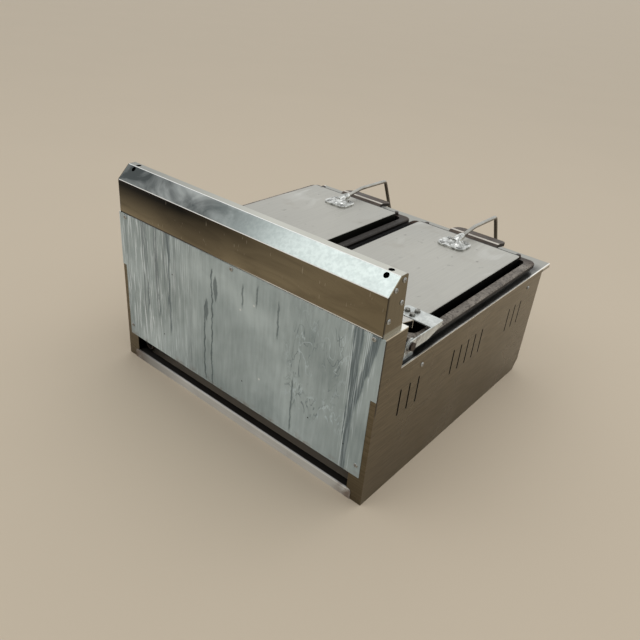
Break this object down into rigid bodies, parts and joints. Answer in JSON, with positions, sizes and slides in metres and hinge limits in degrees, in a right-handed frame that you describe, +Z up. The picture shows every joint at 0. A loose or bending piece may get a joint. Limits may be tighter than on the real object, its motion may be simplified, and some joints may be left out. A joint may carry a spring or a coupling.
{
  "type": "countertop gas griddle with hinged lids",
  "caption": "Countertop gas griddle for steaming and frying dumplings: cast-iron pans side by side under hinged steel lids with bent bar handles, in a sheet-steel cabinet with a rear flue box.",
  "frame": {"origin": "centre of the bounding box's bottom face, on the surface the cabinet stands on", "axes": "+Z up, +Y towards the flue box at the back, front with knobs and handles at -Y, +X to the left of somebody who stands behind it and faces the front"},
  "size_m": [0.6036, 0.6822, 0.394],
  "materials": {
    "stainless_brushed": "brushed stainless sheet",
    "stainless_polished": "mill-polished stainless sheet",
    "lid_steel": "satin, lightly stained",
    "galvanised": "galvanised sheet",
    "cast_iron": "seasoned with baked-on oil",
    "zinc": "zinc plated",
    "fastener": "bright",
    "dark_fastener": "blackened and rusty",
    "handle_casting": "bright casting",
    "handle_steel": "smooth stainless bar",
    "spindle_steel": "turned",
    "knob_plastic": "matt black",
    "gas_brass": "plain",
    "gas_pipe": "black steel pipe"
  },
  "bodies": {
    "cabinet": {"top_deck": "stainless_brushed", "front_panel": "stainless_brushed", "front_sill": "stainless_brushed", "hinge_cover": "stainless_brushed", "left_side_panel": "stainless_brushed", "right_side_panel": "stainless_brushed", "rear_box_shell": "stainless_polished", "left_rear_box_end": "stainless_polished", "right_rear_box_end": "stainless_polished", "back_plate": "galvanised", "rear_sill": "galvanised", "flue_wall": "galvanised", "centre_heat_shield": "galvanised", "front_burner_rest": "galvanised", "rear_burner_rest": "galvanised", "left_heat_shield": "galvanised", "right_heat_shield": "galvanised", "left_pan": "cast_iron", "right_pan": "cast_iron", "left_burner": "cast_iron", "right_burner": "cast_iron", "left_hinge_bracket": "zinc", "right_hinge_bracket": "zinc", "centre_hinge_bracket": "zinc", "back_plate_screws": "fastener", "side_screws": "fastener", "front_panel_screws": "fastener", "rear_box_end_screws": "fastener", "hinge_bracket_screws": "fastener", "pan_rim_bolts": "dark_fastener", "hinge_pins": "dark_fastener", "hinge_nuts": "dark_fastener", "left_gas_cock": "gas_brass", "right_gas_cock": "gas_brass", "left_gas_injector": "gas_brass", "right_gas_injector": "gas_brass", "gas_manifold": "gas_pipe", "gas_inlet_pipe": "gas_pipe"},
    "left_lid": {"left_lid_panel": "lid_steel", "left_lid_outer_hinge_plate": "zinc", "left_lid_inner_hinge_plate": "zinc", "left_lid_hinge_bolts": "dark_fastener", "left_handle_base": "handle_casting", "left_handle_screws": "fastener", "left_handle_bar": "handle_steel"},
    "left_knob": {"left_knob": "knob_plastic", "left_knob_spindle": "spindle_steel"},
    "right_lid": {"right_lid_panel": "lid_steel", "right_lid_outer_hinge_plate": "zinc", "right_lid_inner_hinge_plate": "zinc", "right_lid_hinge_bolts": "dark_fastener", "right_handle_base": "handle_casting", "right_handle_screws": "fastener", "right_handle_bar": "handle_steel"},
    "right_knob": {"right_knob": "knob_plastic", "right_knob_spindle": "spindle_steel"}
  },
  "joints": [
    {"name": "left_lid_hinge", "type": "hinge", "parent": "cabinet", "child": "left_lid", "pos_m": [-0.1475, 0.2535, 0.259], "axis": [-1, 0, 0], "range_deg": [0, 100]},
    {"name": "left_knob_turn", "type": "hinge", "parent": "cabinet", "child": "left_knob", "pos_m": [-0.1475, -0.2261, 0.159], "axis": [0, 1, 0], "range_deg": [0, 90]},
    {"name": "right_lid_hinge", "type": "hinge", "parent": "cabinet", "child": "right_lid", "pos_m": [0.1475, 0.2535, 0.259], "axis": [-1, 0, 0], "range_deg": [0, 100]},
    {"name": "right_knob_turn", "type": "hinge", "parent": "cabinet", "child": "right_knob", "pos_m": [0.1475, -0.2261, 0.159], "axis": [0, 1, 0], "range_deg": [0, 90]}
  ]
}
